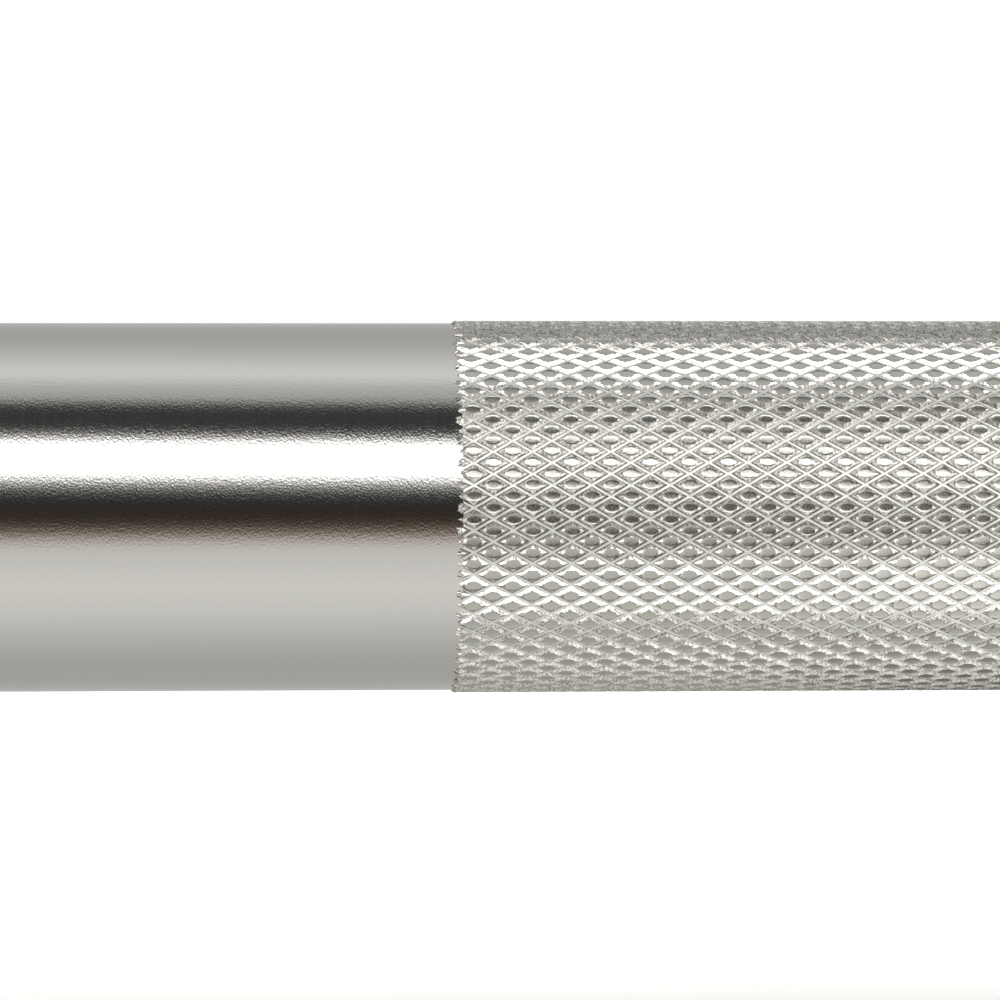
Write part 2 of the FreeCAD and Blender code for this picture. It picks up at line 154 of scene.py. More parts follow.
class BarbellKnurl(bpy.types.PropertyGroup):
    """Form of one cut diamond and how the diamonds lie."""

    diamond: length("Diamond length", "Along the bar, from groove to groove", 2.867 * MM)
    around: IntProperty(name="Diamonds around", description="Count round the shaft", default=53, min=12)
    crest: length("Crest", "Height of a diamond's rim above the smooth shaft", CREST_RADIUS - SMOOTH_RADIUS)
    groove: length("Groove", "Depth of a groove below the smooth shaft", 0.085 * MM)
    groove_half: length("Groove half-width", "Rounded bottom of a groove", 0.085 * MM)
    groove_rise: length("Groove rise", "How far the rounded bottom climbs", 0.035 * MM)
    flank: angle("Flank", "Slope of a groove's flat walls", 45)
    shoulder: length("Shoulder", "Height above the smooth shaft where a wall rounds over", 0.14 * MM)
    top_length: length("Top length", "Oval that the grooves leave on a diamond", 1.19 * MM)
    top_width: length("Top width", "Oval that the grooves leave on a diamond", 0.74 * MM)
    dish: length("Dish", "How deep the oval is pressed in", 0.038 * MM)
    first_column: length("First column", "From the band's start to the first whole diamond", 0.93 * MM)
    first_row: angle("First row", "Turn of the first column above level", 3.1)
    fine_end: length("Finely cut to", "Where the finely modelled stretch of the grip ends", 253 * MM)
    wear: length("Wear", "Random shift of the finely modelled edges", 0.008 * MM)
    ragged: length("Ragged border", "Random shift of a band's cut edge", 0.1 * MM)
    run_out: length("Run-out", "How far a band's end wall slopes out on its way to the core", 0.6 * MM)


class BarbellEnds(bpy.types.PropertyGroup):
    """Sizes of the collars, sleeves and end caps."""

    hub_radius: length("Hub radius", "Collar's hub", 29 * MM)
    hub_edge: length("Hub edge", "Rounding at the grip face", 3.0 * MM)
    neck: length("Neck", "Rounding between hub and flange", 2.0 * MM)
    flange_width: length("Flange width", "Collar's flange", 14 * MM)
    flange_edge: length("Flange edge", "Rounding of the flange's rim", 2.5 * MM)
    lip_radius: length("Lip bore", "Collar's bore round the shaft", 14.6 * MM)
    spigot_radius: length("Spigot radius", "Where the collar is pressed on the sleeve", 24 * MM)
    bore_chamfer: length("Bore chamfer", "Collar's bore at the plate face", 0.5 * MM)
    seat: length("Seat clearance", "Round the seal, the bushing's flange, the cap and its ring", 0.05 * MM)
    relief: length("Relief", "Undercut of the sleeve beside the collar", 2.5 * MM)
    bushing_flange: length("Bushing's flange", "Counterbore's depth past the bushing's start", 3.0 * MM)
    bore_radius: length("Bore", "Sleeve's bore between the bearings", 13.5 * MM)
    end_chamfer: length("End chamfer", "Sleeve's outer edge", 2.0 * MM)
    mouth_chamfer: length("Mouth chamfer", "Sleeve's inner edge", 0.6 * MM)
    thrust_gap: length("Thrust gap", "Round the bronze thrust washer", 0.1 * MM)
    cap_edge: length("Cap edge", "Chamfer of the cap's two edges", 0.5 * MM)
    cap_groove: length("Cap groove", "Depth of the groove for the cap's seal", 1.85 * MM)
    cap_groove_width: length("Cap groove width", "Groove for the cap's seal", 2.4 * MM)
    cap_pocket: length("Cap pocket", "Radius of the hollow at the cap's back", 14 * MM)
    cap_pocket_depth: length("Cap pocket depth", "Hollow at the cap's back", 4 * MM)
    cap_rim: length("Cap rim", "Land round the cap's dished face", 3.5 * MM)
    cap_dish: length("Cap dish", "Depth of the cap's dished face", 1.0 * MM)
    broken_edge: length("Broken edge", "Rounding of every other turned edge", 0.25 * MM)


class BarbellFinishes(bpy.types.PropertyGroup):
    """Colours of the bare and plated metals and of the rubber."""

    steel: colour("Ground steel", "Smooth stretches of the shaft", "C9C7C3")
    torn_steel: colour("Torn steel", "Flanks of the knurl", "E2E0DA")
    pressed_steel: colour("Pressed steel", "Tops of the knurl", "B4B3AC")
    burnished_steel: colour("Burnished steel", "Grooves of the knurl", "E0E0DC")
    chrome: colour("Satin chrome", "Sleeves and collars", "D3D4D6")
    cap_steel: colour("Turned steel", "End caps", "BDBCB9")
    bronze: colour("Bearing bronze", "Bushings and thrust washers", "C08A4E")
    bearing_steel: colour("Bearing steel", "Needles, cups and hard washers", "C6C7C9")
    cage_steel: colour("Cage steel", "Pressed cages", "A39F97")
    black_oxide: colour("Black oxide", "Retaining rings", "2A2A2C")
    rubber: colour("Nitrile rubber", "Seals", "1B1B1C")


class BarbellStudio(bpy.types.PropertyGroup):
    """Where the camera stands and how bright the studio is."""

    camera_along: length("Camera along the bar", "From the bar's middle", 199.75 * MM)
    camera_height: length("Camera height", "Above the bar's axis", 0.5 * MM)
    camera_distance: length("Camera distance", "In front of the bar's axis", 0.29)
    camera_aim: length("Camera aim", "Point of the bar in the picture's middle", 213.48 * MM)
    camera_roll: angle("Camera roll", "How far the bar climbs to the right in the picture", 0.1)
    view_width: length("View width", "What the picture spans at the bar's axis", 76.5 * MM)
    floor_size: length("Floor size", "Side of the square floor", 80.0)
    tent_radius: length("Tent radius", "Diffusing arch over the bar", 1.6)
    tent_length: length("Tent length", "Along the bar", 6.0)
    opening: length("Opening", "Half width of the tent's dark opening round the camera", 0.75)
    slant: number("Slant", "Slope of the softbox's edges, in radians for each metre", 0.13)
    sheet_reach: length("Sheet reach", "Half the side of the floor that the metal reflects", 1.6)
    sheet_gap: length("Sheet gap", "Height of that reflected floor over the plain one", 1.0 * MM)
    lamp_power: number("Lamp power", "Overhead soft lamp", 36.0, unit="POWER")
    lamp_height: length("Lamp height", "Above the bar's axis", 2.0)
    lamp_back: length("Lamp back", "Behind the bar's axis", 0.5)
    lamp_tilt: angle("Lamp tilt", "Towards the front", -14)
    lamp_length: length("Lamp length", "Along the bar", 4.0)
    lamp_width: length("Lamp width", "Across the bar", 2.0)
    ambient: number("Ambient", "Light that the room adds to diffuse surfaces", 0.7)
    floor_lift: number("Floor lift", "Glow that takes the floor up to white in the picture", 0.33)
    floor: colour("Floor", "Plain pale floor", "F4F4F2")


def deselect():
    """Leave nothing selected, so that the next operator acts on its own piece alone."""
    bpy.ops.object.select_all(action="DESELECT")


def open_mesh():
    """Enter edit mode with every point selected."""
    bpy.ops.object.mode_set(mode="EDIT")
    bpy.ops.mesh.select_mode(type="VERT")
    bpy.ops.mesh.select_all(action="SELECT")


def pick(piece, test):
    """In edit mode, select the points whose place passes the test, with the edges and faces between them."""
    mesh = bmesh.from_edit_mesh(piece.data)
    for face in mesh.faces:
        face.select_set(False)
    for edge in mesh.edges:
        edge.select_set(False)
    for point in mesh.verts:
        point.select_set(test(point.co))
    mesh.select_flush(True)
    bmesh.update_edit_mesh(piece.data)


def radius_of(place):
    """Distance from the bar's axis."""
    return math.hypot(place.y, place.z)


def begin_turned(name, x, radius, sides):
    """A circle round the bar's axis, in edit mode, from which a turned piece grows."""
    deselect()
    bpy.ops.mesh.primitive_circle_add(vertices=sides, radius=radius, location=(x, 0, 0),
                                      rotation=(0, math.pi / 2, 0))
    piece = bpy.context.object
    piece.name = piece.data.name = name
    bpy.ops.object.transform_apply(location=True, rotation=True, scale=True)
    open_mesh()
    return piece


def turned(name, stations, sides=160, closed=False):
    """A turned piece through (x, radius) stations: closed into a ring, or filled at its two ends."""
    piece = begin_turned(name, *stations[0], sides)
    if not closed:
        bpy.ops.mesh.edge_face_add()
    for (x0, r0), (x1, r1) in zip(stations, stations[1:] + stations[:1] * closed):
        bpy.ops.mesh.extrude_region_move(TRANSFORM_OT_translate={"value": (x1 - x0, 0, 0)})
        bpy.ops.transform.resize(value=(1, r1 / r0, r1 / r0), center_override=(x1, 0, 0))
    bpy.ops.mesh.select_all(action="SELECT")
    bpy.ops.mesh.remove_doubles(threshold=SAME_PLACE)
    bpy.ops.mesh.normals_make_consistent(inside=False)
    return piece


def round_edges(piece, edges, segments):
    """Round the turned edges at these (x, radius, rounding) places, in edit mode."""
    near = 4 * SAME_PLACE
    for x, radius, rounding in edges:
        pick(piece, lambda co: abs(co.x - x) < near and abs(radius_of(co) - radius) < near)
        bpy.ops.mesh.bevel(offset=rounding, segments=segments, affect="EDGES")


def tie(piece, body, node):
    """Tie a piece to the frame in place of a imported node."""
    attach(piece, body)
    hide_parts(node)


def finish_turned(piece, material):
    """Leave edit mode, shade a turned piece and give it its material."""
    bpy.ops.object.mode_set(mode="OBJECT")
    bpy.ops.object.shade_smooth_by_angle(angle=CRISP)
    piece.data.materials.append(material)


def mirrored(stations, sign):
    """Stations of the right end, or of the left one where the sign is -1."""
    return [(sign * station[0], *station[1:]) for station in stations]


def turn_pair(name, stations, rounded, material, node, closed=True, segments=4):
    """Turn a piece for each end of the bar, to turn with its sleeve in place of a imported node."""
    for side, sign in SIDES:
        piece = turned(f"{side}_{name}", mirrored(stations, sign), closed=closed)
        round_edges(piece, mirrored(rounded, sign), segments)
        finish_turned(piece, material)
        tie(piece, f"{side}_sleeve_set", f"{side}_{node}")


def new_material(name):
    """An empty node material and its tree."""
    material = bpy.data.materials.new(name)
    material.use_nodes = True
    material.node_tree.nodes.clear()
    return material, material.node_tree


def add_node(tree, kind, inputs=None, stops=None, **settings):
    """Add a node with its settings. An input is a constant or a socket to link from, stops fill a ramp."""
    made = tree.nodes.new(kind)
    for name, value in settings.items():
        setattr(made, name, value)
    for key, value in (inputs or {}).items():
        if isinstance(value, bpy.types.NodeSocket):
            tree.links.new(value, made.inputs[key])
        else:
            made.inputs[key].default_value = value
    if stops:
        elements = made.color_ramp.elements
        while len(elements) < len(stops):
            elements.new(0.5)
        for element, (place, level) in zip(elements, stops):
            element.position = place
            element.color = (level, level, level, 1.0)
    return made


def shown_rays(tree):
    """1 where the camera, a mirror or a glass looks at a background, 0 for the light that it sheds."""
    rays = add_node(tree, "ShaderNodeLightPath").outputs
    seen = add_node(tree, "ShaderNodeMath", {
        0: rays["Is Camera Ray"], 1: rays["Is Glossy Ray"]}, operation="ADD")
    seen = add_node(tree, "ShaderNodeMath", {
        0: seen.outputs[0], 1: rays["Is Transmission Ray"]}, operation="ADD", use_clamp=True)
    return seen.outputs[0]


def levels_along(tree, value, stops, low, high, peak=1.0):
    """Levels, as shares of their peak, from (place, level) stops along a value between low and high."""
    share = add_node(tree, "ShaderNodeMapRange", {"Value": value, "From Min": low, "From Max": high})
    stops = [((place - low) / (high - low), level / peak) for place, level in stops]
    return add_node(tree, "ShaderNodeValToRGB", {"Fac": share.outputs[0]}, stops).outputs[0]


def per_metre(size_mm):
    """Scale of a pattern on Object coordinates whose features are this many millimetres across."""
    return 1 / (size_mm * MM)


def ground_steel(tint):
    """Bar steel, centreless ground and satin polished: sharp bands with grainy edges and faint rings.

    The rings and the grain are drawn coarse enough to show.
    """
    material, tree = new_material("ground_bar_steel")
    place = add_node(tree, "ShaderNodeTexCoord").outputs["Object"]
    rings = add_node(tree, "ShaderNodeMapping", {
        "Vector": place, "Scale": (per_metre(0.11), per_metre(3.5), per_metre(3.5))})
    streak = add_node(tree, "ShaderNodeTexNoise", {
        "Vector": rings.outputs[0], "Scale": 1.0, "Detail": 3.0})
    dots = add_node(tree, "ShaderNodeMapping", {
        "Vector": place, "Scale": (per_metre(0.13), per_metre(0.17), per_metre(0.17))})
    grain = add_node(tree, "ShaderNodeTexNoise", {
        "Vector": dots.outputs[0], "Scale": 1.0, "Detail": 3.0})
    rough = add_node(tree, "ShaderNodeMapRange", {
        "Value": streak.outputs["Fac"], "From Min": NOISE_LOW, "From Max": NOISE_HIGH,
        "To Min": 0.08, "To Max": 0.13})
    ridges = add_node(tree, "ShaderNodeBump", {
        "Strength": 1.0, "Distance": 0.0024 * MM, "Height": streak.outputs["Fac"]})
    bumps = add_node(tree, "ShaderNodeBump", {
        "Strength": 1.0, "Distance": 0.0125 * MM, "Height": grain.outputs["Fac"],
        "Normal": ridges.outputs[0]})
    shader = add_node(tree, "ShaderNodeBsdfPrincipled", {
        "Base Color": tint, "Metallic": 1.0, "Roughness": rough.outputs[0], "Normal": bumps.outputs[0]})
    add_node(tree, "ShaderNodeOutputMaterial", {"Surface": shader.outputs[0]})
    return material


def radius_at(tree, place):
    """Distance from the bar's axis of the point that is shaded."""
    axes = add_node(tree, "ShaderNodeSeparateXYZ", {0: place})
    across = add_node(tree, "ShaderNodeCombineXYZ", {"Y": axes.outputs["Y"], "Z": axes.outputs["Z"]})
    reach = add_node(tree, "ShaderNodeVectorMath", {0: across.outputs[0]}, operation="LENGTH")
    return reach.outputs["Value"]


def torn_steel(tint):
    """Flanks of the knurl, where the wheels tear the steel: grey and grainy, with painted shade that darkens
    them towards the foot.
    """
    material, tree = new_material("torn_knurl_steel")
    place = add_node(tree, "ShaderNodeTexCoord").outputs["Object"]
    grain = add_node(tree, "ShaderNodeTexNoise", {
        "Vector": place, "Scale": per_metre(0.16), "Detail": 3.0})
    pits = add_node(tree, "ShaderNodeMapRange", {
        "Value": grain.outputs["Fac"], "From Min": 0.36, "From Max": 0.56})
    shade = add_node(tree, "ShaderNodeMix", {
        "Factor": pits.outputs[0], "A": srgb("9C988E"), "B": tint}, data_type="RGBA")
    # Painted shade: the colour falls to six tenths near each flank's foot by the groove, where shade would
    # gather.
    foot = 0.05 * MM
    climb = add_node(tree, "ShaderNodeMapRange", {
        "Value": radius_at(tree, place), "From Min": SMOOTH_RADIUS - foot, "From Max": SMOOTH_RADIUS + foot,
        "To Min": 0.6, "To Max": 1.0})
    shade = add_node(tree, "ShaderNodeVectorMath", {
        0: shade.outputs[2], "Scale": climb.outputs[0]}, operation="SCALE")
    bumps = add_node(tree, "ShaderNodeBump", {
        "Strength": 1.0, "Distance": 0.006 * MM, "Height": grain.outputs["Fac"]})
    shader = add_node(tree, "ShaderNodeBsdfPrincipled", {
        "Base Color": shade.outputs[0], "Metallic": 1.0, "Roughness": 0.26, "Normal": bumps.outputs[0]})
    add_node(tree, "ShaderNodeOutputMaterial", {"Surface": shader.outputs[0]})
    return material


def patterned(material, pattern, tint, smoothest, roughest, depth, metallic=1.0):
    """Finish a material whose shine and relief, this deep in mm, follow one pattern."""
    tree = material.node_tree
    rough = add_node(tree, "ShaderNodeMapRange", {
        "Value": pattern, "From Min": NOISE_LOW, "From Max": NOISE_HIGH,
        "To Min": smoothest, "To Max": roughest})
    inputs = {"Base Color": tint, "Metallic": metallic, "Roughness": rough.outputs[0]}
    if depth:
        bumps = add_node(tree, "ShaderNodeBump", {
            "Strength": 1.0, "Distance": depth * MM, "Height": pattern})
        inputs["Normal"] = bumps.outputs[0]
    shader = add_node(tree, "ShaderNodeBsdfPrincipled", inputs)
    add_node(tree, "ShaderNodeOutputMaterial", {"Surface": shader.outputs[0]})
    return material


def grainy(name, grain, detail, **finish):
    """A material with an even grain, this many millimetres across."""
    material, tree = new_material(name)
    place = add_node(tree, "ShaderNodeTexCoord").outputs["Object"]
    pattern = add_node(tree, "ShaderNodeTexNoise", {
        "Vector": place, "Scale": per_metre(grain), "Detail": detail})
    return patterned(material, pattern.outputs["Fac"], **finish)


def pressed_steel(tint):
    """Tops of the knurl, pressed by the bottoms of the wheels' teeth: satin and grainy."""
    return grainy("pressed_knurl_steel", grain=0.14, detail=2.0, tint=tint,
                  smoothest=0.21, roughest=0.3, depth=0.004)


def burnished_steel(tint):
    """Bottoms of the knurl's grooves, which the wheels press and burnish: a bright net over the bar."""
    return grainy("burnished_knurl_steel", grain=0.2, detail=2.0, tint=tint,
                  smoothest=0.42, roughest=0.58, depth=0.0)


def turned_metal(name, pitch, **finish):
    """A metal with its lathe's rings on barrels and faces alike, lines this many millimetres apart."""
    material, tree = new_material(name)
    place = add_node(tree, "ShaderNodeTexCoord").outputs["Object"]
    axes = add_node(tree, "ShaderNodeSeparateXYZ", {0: place})
    rings = add_node(tree, "ShaderNodeCombineXYZ", {
        "X": axes.outputs["X"], "Y": radius_at(tree, place)})
    lines = add_node(tree, "ShaderNodeTexNoise", {
        "Vector": rings.outputs[0], "Scale": per_metre(pitch), "Detail": 3.0})
    return patterned(material, lines.outputs["Fac"], **finish)


def satin_chrome(tint):
    """Hard chrome over turned steel: cool, bright and satin, with faint rings coarse enough to show."""
    return turned_metal("satin_chrome_plate", pitch=0.4, tint=tint,
                        smoothest=0.16, roughest=0.24, depth=0.004)


def turned_steel(tint):
    """Free-cutting steel faced on a lathe: clear concentric lines that fan the light."""
    return turned_metal("turned_cap_steel", pitch=0.5, tint=tint,
                        smoothest=0.24, roughest=0.36, depth=0.012)


def bearing_bronze(tint):
    """Bored and faced bearing bronze: warm, with soft turning lines."""
    return turned_metal("turned_bearing_bronze", pitch=0.35, tint=tint,
                        smoothest=0.26, roughest=0.4, depth=0.008)


def bearing_steel(tint):
    """Hardened and ground bearing steel: near mirror bright, with hair-fine rings."""
    return turned_metal("ground_bearing_steel", pitch=0.2, tint=tint,
                        smoothest=0.1, roughest=0.16, depth=0.001)


def cage_steel(tint):
    """Pressed sheet steel: dull, a little mottled from pickling."""
    return grainy("pressed_cage_steel", grain=1.5, detail=4.0, tint=tint,
                  smoothest=0.32, roughest=0.5, depth=0.01)


def black_oxide(tint):
    """Spring steel blackened in a hot salt bath: near black, oily, rubbed to grey in specks."""
    material, tree = new_material("black_oxide_spring_steel")
    place = add_node(tree, "ShaderNodeTexCoord").outputs["Object"]
    rub = add_node(tree, "ShaderNodeTexNoise", {"Vector": place, "Scale": per_metre(0.8), "Detail": 5.0})
    worn = add_node(tree, "ShaderNodeMapRange", {
        "Value": rub.outputs["Fac"], "From Min": 0.58, "From Max": 0.75, "To Max": 0.5})
    shade = add_node(tree, "ShaderNodeMix", {
        "Factor": worn.outputs[0], "A": tint, "B": srgb("77757A")}, data_type="RGBA")
    shader = add_node(tree, "ShaderNodeBsdfPrincipled", {
        "Base Color": shade.outputs[2], "Metallic": 0.7, "Roughness": 0.42})
    add_node(tree, "ShaderNodeOutputMaterial", {"Surface": shader.outputs[0]})
    return material


def nitrile_rubber(tint):
    """Moulded nitrile rubber: black, matt, with a fine bloom and grain."""
    return grainy("moulded_nitrile_rubber", grain=0.3, detail=3.0, tint=tint,
                  smoothest=0.55, roughest=0.72, depth=0.012, metallic=0.0)


def knurl_loop(level, corners, half_length, half_width, cuts):
    """In edit mode, add one closed outline of a diamond at a level above the smooth shaft."""
    bpy.ops.mesh.primitive_circle_add(vertices=corners, radius=half_length, location=(0, -level, 0),
                                      rotation=(math.pi / 2, 0, 0))
    bpy.ops.transform.resize(value=(1, 1, half_width / half_length), center_override=(0, 0, 0))
    if cuts:
        bpy.ops.mesh.subdivide(number_cuts=cuts)


def on_level(*levels):
    """A test for points that stand on one of these levels, towards -Y."""
    return lambda co: min(abs(co.y + level) for level in levels) < SAME_PLACE


def make_diamond(name, knurl, step, fine, steels):
    """One flat diamond, facing -Y: grooves along its sides, flat flanks and an oval pressed into its top."""
    half_length, half_width = knurl.diamond / 2, step / 2
    side_distance = half_length * half_width / math.hypot(half_length, half_width)
    groove_edge = 1 - knurl.groove_half / side_distance
    climb = knurl.shoulder + knurl.groove - knurl.groove_rise
    shoulder = groove_edge - climb / math.tan(knurl.flank) / side_distance
    # Rings of the oval: their share of its size and of the dish's depth
    rings = ((1.0, 0.0), (0.85, 0.56), (0.6, 0.76)) if fine else ((1.0, 0.0),)
    oval_corners, shoulder_cuts = (12, 2) if fine else (4, 0)
    outlines = [
        (4, half_length, half_width, 0),
        (4, half_length * groove_edge, half_width * groove_edge, 0),
        (4, half_length * shoulder, half_width * shoulder, shoulder_cuts),
    ]
    heights = [-knurl.groove, knurl.groove_rise - knurl.groove, knurl.shoulder]
    for share, depth in rings:
        outlines.append((oval_corners, knurl.top_length / 2 * share, knurl.top_width / 2 * share, 0))
        heights.append(knurl.crest - knurl.dish * depth)
    deselect()
    bpy.ops.mesh.primitive_circle_add(vertices=3, radius=knurl.diamond)
    piece = bpy.context.object
    piece.name = piece.data.name = name
    open_mesh()
    bpy.ops.mesh.delete(type="VERT")
    for steel in steels:
        piece.data.materials.append(steel)
    # The loops are joined as a tall tower, each on its own level, and lowered to their heights afterwards
    tower = [knurl.diamond * (1 + index) for index in range(len(outlines))]
    for level, outline in zip(tower, outlines):
        knurl_loop(level, *outline)
    for low, high, finish in zip(tower, tower[1:], (GROOVE, FLANK, FLANK, TOP, TOP)):
        pick(piece, on_level(low, high))
        bpy.ops.mesh.bridge_edge_loops()
        pick(piece, on_level(low, high))
        piece.active_material_index = finish
        bpy.ops.object.material_slot_assign()
    pick(piece, on_level(tower[-1]))
    bpy.ops.mesh.edge_face_add()
    piece.active_material_index = TOP
    bpy.ops.object.material_slot_assign()
    bpy.ops.mesh.select_all(action="SELECT")
    bpy.ops.mesh.normals_make_consistent(inside=False)
    flank_foot, flank_top = tower[1], tower[3]
    for level in (flank_foot, flank_top):
        pick(piece, on_level(level))
        bpy.ops.mesh.mark_sharp()
    for axis in (0, 2):
        pick(piece, lambda co: abs(co[axis]) < SAME_PLACE
             and flank_foot - SAME_PLACE < -co.y < flank_top + SAME_PLACE)
        bpy.ops.mesh.mark_sharp()
    for level, height in zip(tower, heights):
        pick(piece, on_level(level))
        bpy.ops.transform.translate(value=(0, level - height, 0))
    bpy.ops.mesh.poke(offset=-knurl.dish * (1 - rings[-1][1]))
    bpy.ops.mesh.select_all(action="SELECT")
    bpy.ops.mesh.duplicate_move(TRANSFORM_OT_translate={"value": (half_length, 0, half_width)})
    bpy.ops.object.mode_set(mode="OBJECT")
    return piece


def repeat(piece, count, offset):
    """Repeat a piece in a row."""
    row = piece.modifiers.new("row", "ARRAY")
    row.count = count
    row.use_relative_offset = False
    row.use_constant_offset = True
    row.constant_offset_displace = offset
    bpy.ops.object.modifier_apply(modifier=row.name)


def band_borders(shaft):
    """Stations where a knurled band meets the smooth shaft."""
    right = (shaft.centre_end, shaft.grip_start, shaft.mark_start, shaft.mark_end, shaft.grip_end)
    return [sign * x for _, sign in SIDES for x in right]


def wrap_round(piece, radius):
    """Bend a flat sheet of diamonds into a tube round the bar's axis."""
    heights = [point.co.z for point in piece.data.vertices]
    wrap = piece.modifiers.new("wrap", "SIMPLE_DEFORM")
    wrap.deform_method = "BEND"
    wrap.deform_axis = "X"
    wrap.angle = (max(heights) - min(heights)) / radius
    bpy.ops.object.modifier_apply(modifier=wrap.name)
    open_mesh()
    bpy.ops.transform.translate(value=(0, -radius, 0))
    bpy.ops.mesh.remove_doubles(threshold=WELD)


def cut_end(x, side, seed):
    """In edit mode, cut a band off at a station, wall it down to the core and keep the rim as a group."""
    shaft, knurl = bpy.context.scene.barbell_shaft, bpy.context.scene.barbell_knurl
    bpy.ops.mesh.select_all(action="SELECT")
    bpy.ops.mesh.bisect(plane_co=(x, 0, 0), plane_no=(side, 0, 0), clear_outer=True,
                        threshold=SAME_PLACE / 10)
    bpy.ops.mesh.mark_sharp()
    run_out = 0.0
    if x in band_borders(shaft):
        bpy.ops.transform.vertex_random(offset=knurl.ragged, uniform=0.0, normal=0.0, seed=seed)
        run_out = side * knurl.run_out
    bpy.ops.mesh.extrude_region_move(TRANSFORM_OT_translate={"value": (run_out, 0, 0)})
    inward = shaft.seat_radius / shaft.radius
    bpy.ops.transform.resize(value=(1, inward, inward), center_override=(x, 0, 0))
    bpy.ops.object.vertex_group_add()
    bpy.ops.object.vertex_group_assign()


def knurled_band(name, start, end, fine, seed, steels):
    """A closed ring of cut diamonds from one station to another, wrapped round the shaft."""
    shaft, knurl = bpy.context.scene.barbell_shaft, bpy.context.scene.barbell_knurl
    step = TURN * shaft.radius / knurl.around
    piece = make_diamond(name, knurl, step, fine, steels)
    column = shaft.grip_start + knurl.first_column
    first = column + math.floor((start - column) / knurl.diamond - 0.5) * knurl.diamond
    columns = math.ceil((end - first) / knurl.diamond) + 1
    lowest = shaft.radius * knurl.first_row - step * (knurl.around // 2)
    open_mesh()
    bpy.ops.transform.translate(value=(first, 0, lowest))
    bpy.ops.object.mode_set(mode="OBJECT")
    repeat(piece, columns, (knurl.diamond, 0, 0))
    repeat(piece, knurl.around, (0, 0, step))
    wrap_round(piece, shaft.radius)
    if fine:
        bpy.ops.transform.vertex_random(offset=knurl.wear, uniform=0.0, normal=0.0, seed=seed)
    cut_end(start, -1, seed)
    cut_end(end, 1, seed)
    bpy.ops.mesh.select_all(action="DESELECT")
    for group in piece.vertex_groups:
        piece.vertex_groups.active_index = group.index
        bpy.ops.object.vertex_group_select()
    bpy.ops.mesh.bridge_edge_loops()
    bpy.ops.mesh.select_all(action="SELECT")
    bpy.ops.mesh.normals_make_consistent(inside=False)
    bpy.ops.object.vertex_group_remove(all=True)
    bpy.ops.object.mode_set(mode="OBJECT")
    bpy.ops.object.shade_smooth()
    return piece


class BARBELL_OT_shaft(bpy.types.Operator):
    """Turn the ground shaft, with a low seat under each knurled band"""

    bl_idname = "barbell.shaft"
    bl_label = "Shaft"

    def execute(self, context):
        shaft = context.scene.barbell_shaft
        full, seat, journal = shaft.radius, shaft.seat_radius, shaft.journal_radius
        half = [(shaft.centre_end - shaft.tuck, seat), (shaft.centre_end - shaft.tuck, full)]
        for start, end in ((shaft.grip_start, shaft.mark_start), (shaft.mark_end, shaft.grip_end)):
            start, end = start + shaft.tuck, end - shaft.tuck
            half += [(start, full), (start, seat), (end, seat), (end, full)]
        half += [
            (shaft.shoulder, full),
            (shaft.shoulder, journal),
            (SHAFT_RING[0], journal),
            (SHAFT_RING[0], shaft.ring_groove_radius),
            (SHAFT_RING[1], shaft.ring_groove_radius),
            (SHAFT_RING[1], journal),
            (SHAFT_END - shaft.end_chamfer, journal),
            (SHAFT_END, journal - shaft.end_chamfer),
            (SHAFT_END, shaft.hole_radius),
            (SHAFT_END - shaft.hole_depth, shaft.hole_tip),
        ]
        piece = turned("shaft_bar", mirrored(half, -1)[::-1] + half, sides=256)
        finish_turned(piece, ground_steel(context.scene.barbell_finishes.steel))
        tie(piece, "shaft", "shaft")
        return {"FINISHED"}


class BARBELL_OT_knurl(bpy.types.Operator):
    """Cut the diamonds of the centre knurl and the grips"""

    bl_idname = "barbell.knurl"
    bl_label = "Knurl"

    def execute(self, context):
        shaft, knurl = context.scene.barbell_shaft, context.scene.barbell_knurl
        finishes = context.scene.barbell_finishes
        steels = (burnished_steel(finishes.burnished_steel), torn_steel(finishes.torn_steel),
                  pressed_steel(finishes.pressed_steel))
        right_half = (knurl.fine_end + shaft.mark_start) / 2
        left_half = (shaft.grip_start + shaft.mark_start) / 2
        outer_half = (shaft.mark_end + shaft.grip_end) / 2
        bands = [
            ("right_grip_start_knurl", shaft.grip_start, knurl.fine_end, True),
            ("right_grip_inner_knurl", knurl.fine_end, right_half, False),
            ("right_grip_middle_knurl", right_half, shaft.mark_start, False),
            ("right_grip_outer_knurl", shaft.mark_end, outer_half, False),
            ("right_grip_end_knurl", outer_half, shaft.grip_end, False),
            ("centre_knurl", -shaft.centre_end, shaft.centre_end, False),
            ("left_grip_inner_knurl", -left_half, -shaft.grip_start, False),
            ("left_grip_middle_knurl", -shaft.mark_start, -left_half, False),
            ("left_grip_outer_knurl", -outer_half, -shaft.mark_end, False),
            ("left_grip_end_knurl", -shaft.grip_end, -outer_half, False),
        ]
        for seed, (name, start, end, fine) in enumerate(bands):
            piece = knurled_band(name, start, end, fine, seed, steels)
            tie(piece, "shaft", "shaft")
        return {"FINISHED"}


